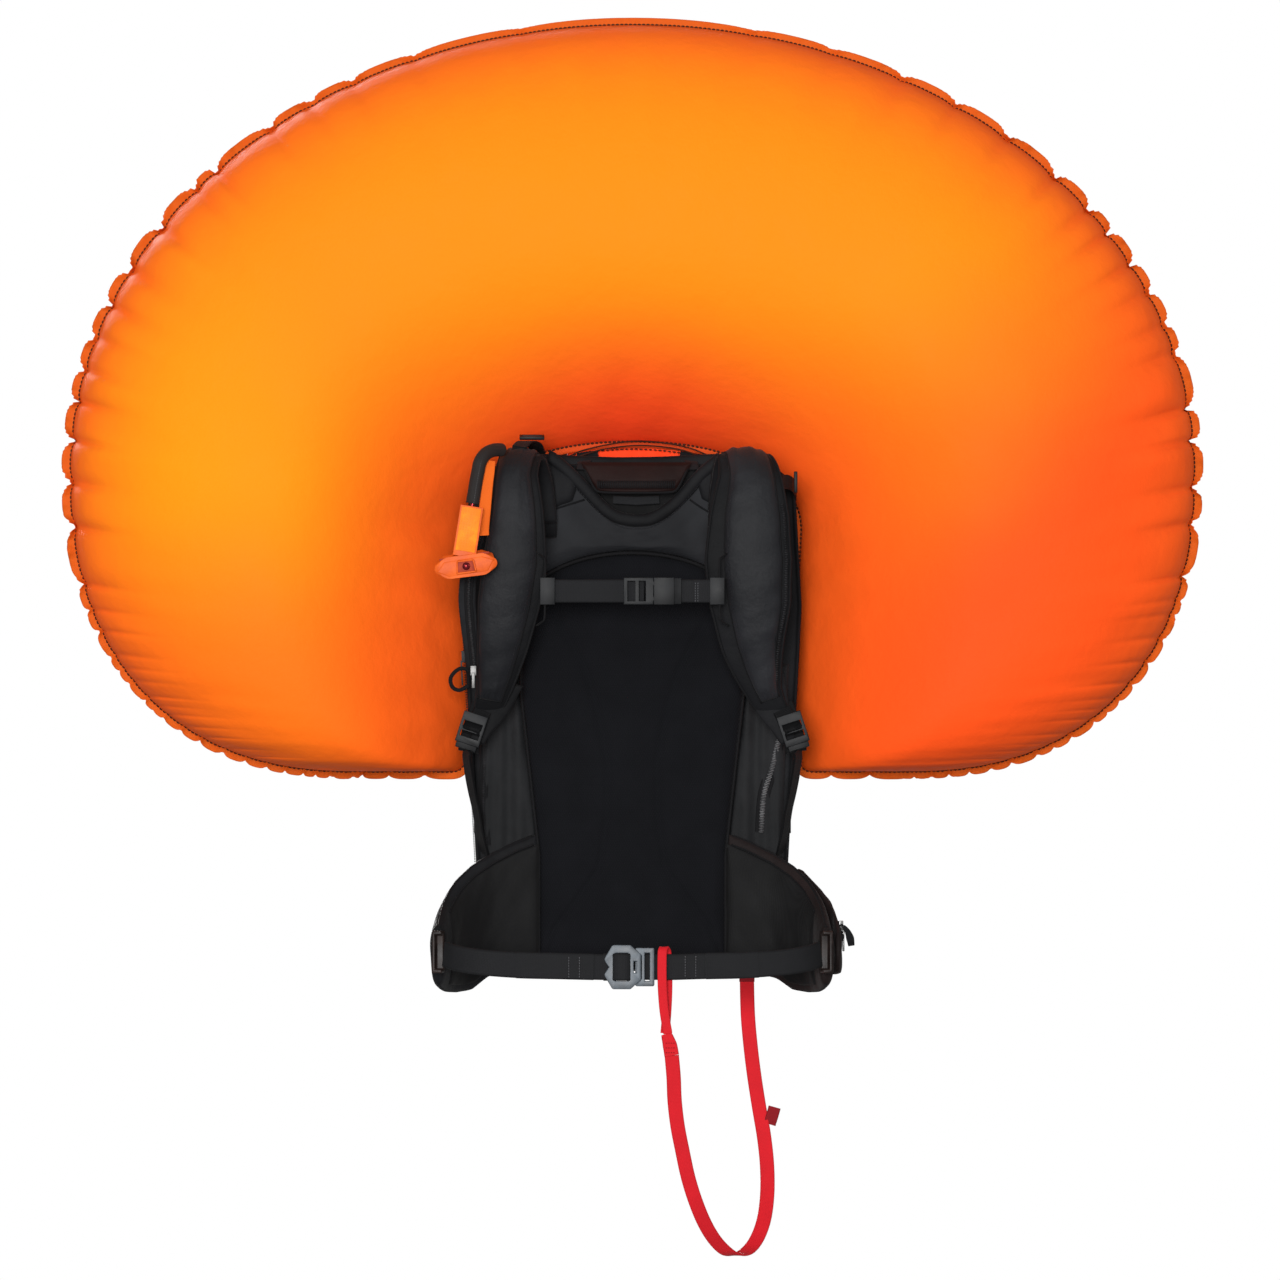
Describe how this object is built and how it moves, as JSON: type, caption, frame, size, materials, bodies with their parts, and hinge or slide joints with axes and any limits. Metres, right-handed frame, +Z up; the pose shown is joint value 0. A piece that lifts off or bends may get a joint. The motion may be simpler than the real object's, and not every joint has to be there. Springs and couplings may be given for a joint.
{
  "type": "avalanche airbag backpack",
  "caption": "Black ski-touring backpack with its orange horseshoe airbag inflated, padded harness, hip belt, red leg loop, pull trigger and blower unit.",
  "frame": {"origin": "a point on the back panel's contact face, on the pack's middle plane at mid height of the bag", "axes": "+X towards the side of the bag with the zipped belt pocket, +Y away from the wearer, +Z up"},
  "size_m": [1.196, 0.4422, 1.2968],
  "materials": {
    "pack_fabric": "matte",
    "back_knit": "matte",
    "strap_fabric": "matte",
    "pocket_fabric": "matte",
    "handle_webbing": "matte",
    "black_webbing": "matte",
    "zip_tape": "matte",
    "grey_zip": "matte",
    "zip_metal": "satin",
    "buckle_plastic": "satin",
    "keeper_plastic": "satin",
    "buckle_metal": "satin",
    "red_webbing": "matte",
    "trigger_orange": "satin",
    "sheath_braid": "matte",
    "cable_steel": "satin",
    "airbag_fabric": "satin",
    "airbag_trim": "satin",
    "frame_plastic": "satin",
    "stay_aluminium": "satin",
    "housing_plastic": "satin",
    "impeller_plastic": "satin",
    "motor_steel": "satin",
    "valve_rubber": "matte",
    "capacitor_sleeve": "gloss",
    "cell_sleeve": "gloss",
    "switch_plastic": "satin"
  },
  "bodies": {
    "pack": {"back_panel": "back_knit", "yoke": "pack_fabric", "frame_sheet": "frame_plastic", "frame_stay": "stay_aluminium", "bag_shell": "pack_fabric", "main_zip": "zip_tape", "shoulder_strap_left": "strap_fabric", "shoulder_strap_right": "strap_fabric", "strap_zip": "zip_tape", "load_lifters": "black_webbing", "ladder_locks": "buckle_plastic", "lower_webbings": "black_webbing", "side_zip": "grey_zip", "sternum_rails": "buckle_plastic", "lumbar_wings": "pack_fabric", "hip_wing_right": "pack_fabric", "hip_pocket": "pocket_fabric", "hip_webbing_right": "black_webbing", "hip_keeper_right": "keeper_plastic", "hip_buckle_frame": "buckle_metal", "leg_strap": "red_webbing", "leg_eye": "red_webbing", "leg_anchor": "red_webbing", "leg_tag": "red_webbing", "compression_straps": "black_webbing", "compression_buckles": "buckle_plastic", "tool_ring": "black_webbing", "trigger_sheath": "sheath_braid", "airbag_front_panel": "airbag_fabric", "airbag_rear_panel": "airbag_fabric", "airbag_seam": "airbag_trim", "airbag_neck": "airbag_fabric", "blower_housing": "housing_plastic", "blower_cover": "housing_plastic", "blower_motor": "motor_steel", "controller_case": "housing_plastic", "supercapacitors": "capacitor_sleeve", "battery_cells": "cell_sleeve"},
    "front_panel": {"front_panel": "pack_fabric", "tools_pocket": "pack_fabric", "carry_loops": "black_webbing"},
    "main_zip_slider": {"main_zip_slider": "zip_metal"},
    "strap_zip_pull": {"strap_zip_pull": "zip_metal"},
    "sternum_strap": {"sternum_sliders": "buckle_plastic", "sternum_webbing": "black_webbing", "sternum_buckle_socket": "buckle_plastic"},
    "sternum_plug": {"sternum_buckle_plug": "buckle_plastic"},
    "haul_handle": {"haul_handle": "handle_webbing"},
    "hip_left": {"hip_wing_left": "pack_fabric", "hip_webbing_left": "black_webbing", "hip_keeper_left": "keeper_plastic"},
    "hip_buckle": {"hip_buckle_plate": "buckle_metal"},
    "hip_pocket_zip": {"hip_pocket_zip_slider": "zip_metal"},
    "trigger": {"trigger_handle": "trigger_orange", "trigger_cable": "cable_steel"},
    "airbag_lid": {"airbag_lid": "pack_fabric"},
    "impeller": {"impeller": "impeller_plastic"},
    "check_valve": {"check_valve_flap": "valve_rubber"},
    "power_switch": {"power_switch": "switch_plastic"},
    "battery_door": {"battery_door": "housing_plastic"}
  },
  "joints": [
    {"name": "trigger_pull", "type": "slide", "parent": "pack", "child": "trigger", "axis": [-0.1564, 0, -0.9877], "range_m": [0, 0.035]},
    {"name": "sternum_height", "type": "slide", "parent": "pack", "child": "sternum_strap", "axis": [0, 0, 1], "range_m": [-0.03, 0.03]},
    {"name": "sternum_unclip", "type": "slide", "parent": "sternum_strap", "child": "sternum_plug", "axis": [-1, 0, 0], "range_m": [0, 0.04]},
    {"name": "haul_handle_swing", "type": "hinge", "parent": "pack", "child": "haul_handle", "pos_m": [0, 0.009, 0.262], "axis": [-1, 0, 0], "range_deg": [0, 100]},
    {"name": "front_panel_open", "type": "hinge", "parent": "pack", "child": "front_panel", "pos_m": [0, 0.2294, -0.2664], "axis": [-1, 0, 0], "range_deg": [0, 100]},
    {"name": "airbag_lid_fold", "type": "hinge", "parent": "pack", "child": "airbag_lid", "pos_m": [0, 0.184, 0.244], "axis": [-1, 0, 0], "range_deg": [0, 28]},
    {"name": "hip_left_swing", "type": "hinge", "parent": "pack", "child": "hip_left", "pos_m": [-0.15, -0.004, -0.212], "axis": [0, 0, -1], "range_deg": [0, 45]},
    {"name": "hip_buckle_tilt", "type": "hinge", "parent": "hip_left", "child": "hip_buckle", "pos_m": [-0.026, -0.1625, -0.265], "axis": [0, 0, -1], "range_deg": [0, 35]},
    {"name": "impeller_spin", "type": "hinge", "parent": "pack", "child": "impeller", "pos_m": [0, 0.127, 0.145], "axis": [0, 1, 0], "continuous": true},
    {"name": "check_valve_swing", "type": "hinge", "parent": "pack", "child": "check_valve", "pos_m": [0.0172, 0.127, 0.2098], "axis": [0, -1, 0], "range_deg": [0, 75]},
    {"name": "power_switch_slide", "type": "slide", "parent": "pack", "child": "power_switch", "axis": [0, 0, 1], "range_m": [0, 0.013]},
    {"name": "battery_door_open", "type": "hinge", "parent": "pack", "child": "battery_door", "pos_m": [-0.1394, 0.106, 0.1], "axis": [0, 0, 1], "range_deg": [0, 100]},
    {"name": "main_zip_slide", "type": "slide", "parent": "pack", "child": "main_zip_slider", "axis": [0.0529, 0, -0.9986], "range_m": [0, 0.19]},
    {"name": "strap_zip_slide", "type": "slide", "parent": "pack", "child": "strap_zip_pull", "axis": [-0.0127, -0.2124, 0.9771], "range_m": [0, 0.03]},
    {"name": "hip_pocket_zip_slide", "type": "slide", "parent": "pack", "child": "hip_pocket_zip", "axis": [-0.2, 0.9798, 0], "range_m": [0, 0.03]}
  ]
}
